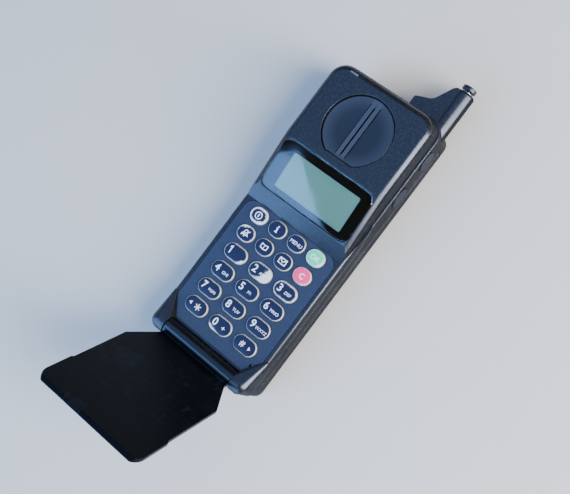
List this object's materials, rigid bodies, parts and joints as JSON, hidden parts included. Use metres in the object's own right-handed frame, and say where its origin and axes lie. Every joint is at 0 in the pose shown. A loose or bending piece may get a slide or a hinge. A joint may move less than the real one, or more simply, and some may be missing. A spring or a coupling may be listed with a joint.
{
  "type": "flip phone",
  "caption": "Slab-shaped flip phone with a raised ear end and sloped display, pill keys, a hinged cover that folds open at the foot, a pull-out antenna and a slide-off battery pack.",
  "frame": {"origin": "on the battery pack's flat back face, under the middle of the body's width, level with the top of the keypad", "axes": "+X to the user's right across the keys, +Y along the body towards the antenna, +Z out of the front face"},
  "size_m": [0.0588, 0.2087, 0.0826],
  "materials": {
    "housing": "fine moulded grain, near black",
    "battery_shell": "fine moulded grain, near black",
    "panel": "satin moulded plastic, dark blue-grey",
    "silicone": "moulded silicone sheet",
    "foam": "foam ring",
    "board": "green solder mask on glass-fibre laminate",
    "tinplate": "folded tinplate",
    "smoked_lens": "clear smoked lens, polished",
    "display": "grey-green liquid crystal glass",
    "white_frame": "white moulded light guide frame",
    "steel": "plain steel",
    "mic_can": "drawn can",
    "gloss_black": "polished black",
    "clear_light": "clear light pipe",
    "flip_gloss": "polished black, scuffed",
    "nickel": "nickel plated",
    "side_rubber": "soft black rubber",
    "cell_can": "sleeved cell cans",
    "gold_contact": "gold plated",
    "key_cream": "cream moulding with dark printed top, worn in places",
    "key_green": "mint green top",
    "key_pink": "pink top"
  },
  "bodies": {
    "phone": {"front_housing": "housing", "rear_housing": "housing", "keypad_panel": "panel", "earpiece_dish": "panel", "keypad_mat": "silicone", "speaker_gasket": "foam", "main_board": "board", "shield_can": "tinplate", "display_window": "smoked_lens", "lcd_glass": "display", "lcd_frame": "white_frame", "earpiece_speaker": "steel", "microphone": "mic_can", "ringer": "gloss_black", "status_light": "clear_light", "hinge_pin_left": "steel", "hinge_pin_right": "steel", "antenna_ferrule": "nickel", "volume_switches": "tinplate", "battery_contacts": "gold_contact", "accessory_contacts": "gloss_black", "housing_screws": "steel"},
    "flip": {"flip_cover": "flip_gloss"},
    "antenna": {"antenna": "gloss_black"},
    "battery": {"battery_case": "battery_shell", "battery_lid": "battery_shell", "battery_cells": "cell_can", "battery_terminals": "gold_contact"},
    "latch": {"battery_latch": "battery_shell"},
    "volume_up": {"volume_up_key": "side_rubber"},
    "volume_down": {"volume_down_key": "side_rubber"},
    "key_power": {"key_power": "key_cream"},
    "key_info": {"key_info": "key_cream"},
    "key_menu": {"key_menu": "key_cream"},
    "key_ok": {"key_ok": "key_green"},
    "key_mute": {"key_mute": "key_cream"},
    "key_book": {"key_book": "key_cream"},
    "key_mail": {"key_mail": "key_cream"},
    "key_clear": {"key_clear": "key_pink"},
    "key_1": {"key_1": "key_cream"},
    "key_2": {"key_2": "key_cream"},
    "key_3": {"key_3": "key_cream"},
    "key_4": {"key_4": "key_cream"},
    "key_5": {"key_5": "key_cream"},
    "key_6": {"key_6": "key_cream"},
    "key_7": {"key_7": "key_cream"},
    "key_8": {"key_8": "key_cream"},
    "key_9": {"key_9": "key_cream"},
    "key_star": {"key_star": "key_cream"},
    "key_0": {"key_0": "key_cream"},
    "key_hash": {"key_hash": "key_cream"}
  },
  "joints": [
    {"name": "flip_hinge", "type": "hinge", "parent": "phone", "child": "flip", "pos_m": [0, -0.0708, 0.0223], "axis": [-1, 0, 0], "range_deg": [0, 122]},
    {"name": "antenna_slide", "type": "slide", "parent": "phone", "child": "antenna", "axis": [0, 1, 0], "range_m": [0, 0.095]},
    {"name": "battery_slide", "type": "slide", "parent": "phone", "child": "battery", "axis": [0, -1, 0], "range_m": [0, 0.01]},
    {"name": "latch_slide", "type": "slide", "parent": "phone", "child": "latch", "axis": [0, 1, 0], "range_m": [0, 0.0012], "stiffness_N_per_m": 800},
    {"name": "volume_up_press", "type": "slide", "parent": "phone", "child": "volume_up", "axis": [-1, 0, 0], "range_m": [0, 0.0004], "stiffness_N_per_m": 1500},
    {"name": "volume_down_press", "type": "slide", "parent": "phone", "child": "volume_down", "axis": [-1, 0, 0], "range_m": [0, 0.0004], "stiffness_N_per_m": 1500},
    {"name": "key_power_press", "type": "slide", "parent": "phone", "child": "key_power", "axis": [0, 0, -1], "range_m": [0, 0.0006], "stiffness_N_per_m": 1500},
    {"name": "key_info_press", "type": "slide", "parent": "phone", "child": "key_info", "axis": [0, 0, -1], "range_m": [0, 0.0006], "stiffness_N_per_m": 1500},
    {"name": "key_menu_press", "type": "slide", "parent": "phone", "child": "key_menu", "axis": [0, 0, -1], "range_m": [0, 0.0006], "stiffness_N_per_m": 1500},
    {"name": "key_ok_press", "type": "slide", "parent": "phone", "child": "key_ok", "axis": [0, 0, -1], "range_m": [0, 0.0006], "stiffness_N_per_m": 1500},
    {"name": "key_mute_press", "type": "slide", "parent": "phone", "child": "key_mute", "axis": [0, 0, -1], "range_m": [0, 0.0006], "stiffness_N_per_m": 1500},
    {"name": "key_book_press", "type": "slide", "parent": "phone", "child": "key_book", "axis": [0, 0, -1], "range_m": [0, 0.0006], "stiffness_N_per_m": 1500},
    {"name": "key_mail_press", "type": "slide", "parent": "phone", "child": "key_mail", "axis": [0, 0, -1], "range_m": [0, 0.0006], "stiffness_N_per_m": 1500},
    {"name": "key_clear_press", "type": "slide", "parent": "phone", "child": "key_clear", "axis": [0, 0, -1], "range_m": [0, 0.0006], "stiffness_N_per_m": 1500},
    {"name": "key_1_press", "type": "slide", "parent": "phone", "child": "key_1", "axis": [0, 0, -1], "range_m": [0, 0.0006], "stiffness_N_per_m": 1500},
    {"name": "key_2_press", "type": "slide", "parent": "phone", "child": "key_2", "axis": [0, 0, -1], "range_m": [0, 0.0006], "stiffness_N_per_m": 1500},
    {"name": "key_3_press", "type": "slide", "parent": "phone", "child": "key_3", "axis": [0, 0, -1], "range_m": [0, 0.0006], "stiffness_N_per_m": 1500},
    {"name": "key_4_press", "type": "slide", "parent": "phone", "child": "key_4", "axis": [0, 0, -1], "range_m": [0, 0.0006], "stiffness_N_per_m": 1500},
    {"name": "key_5_press", "type": "slide", "parent": "phone", "child": "key_5", "axis": [0, 0, -1], "range_m": [0, 0.0006], "stiffness_N_per_m": 1500},
    {"name": "key_6_press", "type": "slide", "parent": "phone", "child": "key_6", "axis": [0, 0, -1], "range_m": [0, 0.0006], "stiffness_N_per_m": 1500},
    {"name": "key_7_press", "type": "slide", "parent": "phone", "child": "key_7", "axis": [0, 0, -1], "range_m": [0, 0.0006], "stiffness_N_per_m": 1500},
    {"name": "key_8_press", "type": "slide", "parent": "phone", "child": "key_8", "axis": [0, 0, -1], "range_m": [0, 0.0006], "stiffness_N_per_m": 1500},
    {"name": "key_9_press", "type": "slide", "parent": "phone", "child": "key_9", "axis": [0, 0, -1], "range_m": [0, 0.0006], "stiffness_N_per_m": 1500},
    {"name": "key_star_press", "type": "slide", "parent": "phone", "child": "key_star", "axis": [0, 0, -1], "range_m": [0, 0.0006], "stiffness_N_per_m": 1500},
    {"name": "key_0_press", "type": "slide", "parent": "phone", "child": "key_0", "axis": [0, 0, -1], "range_m": [0, 0.0006], "stiffness_N_per_m": 1500},
    {"name": "key_hash_press", "type": "slide", "parent": "phone", "child": "key_hash", "axis": [0, 0, -1], "range_m": [0, 0.0006], "stiffness_N_per_m": 1500}
  ]
}
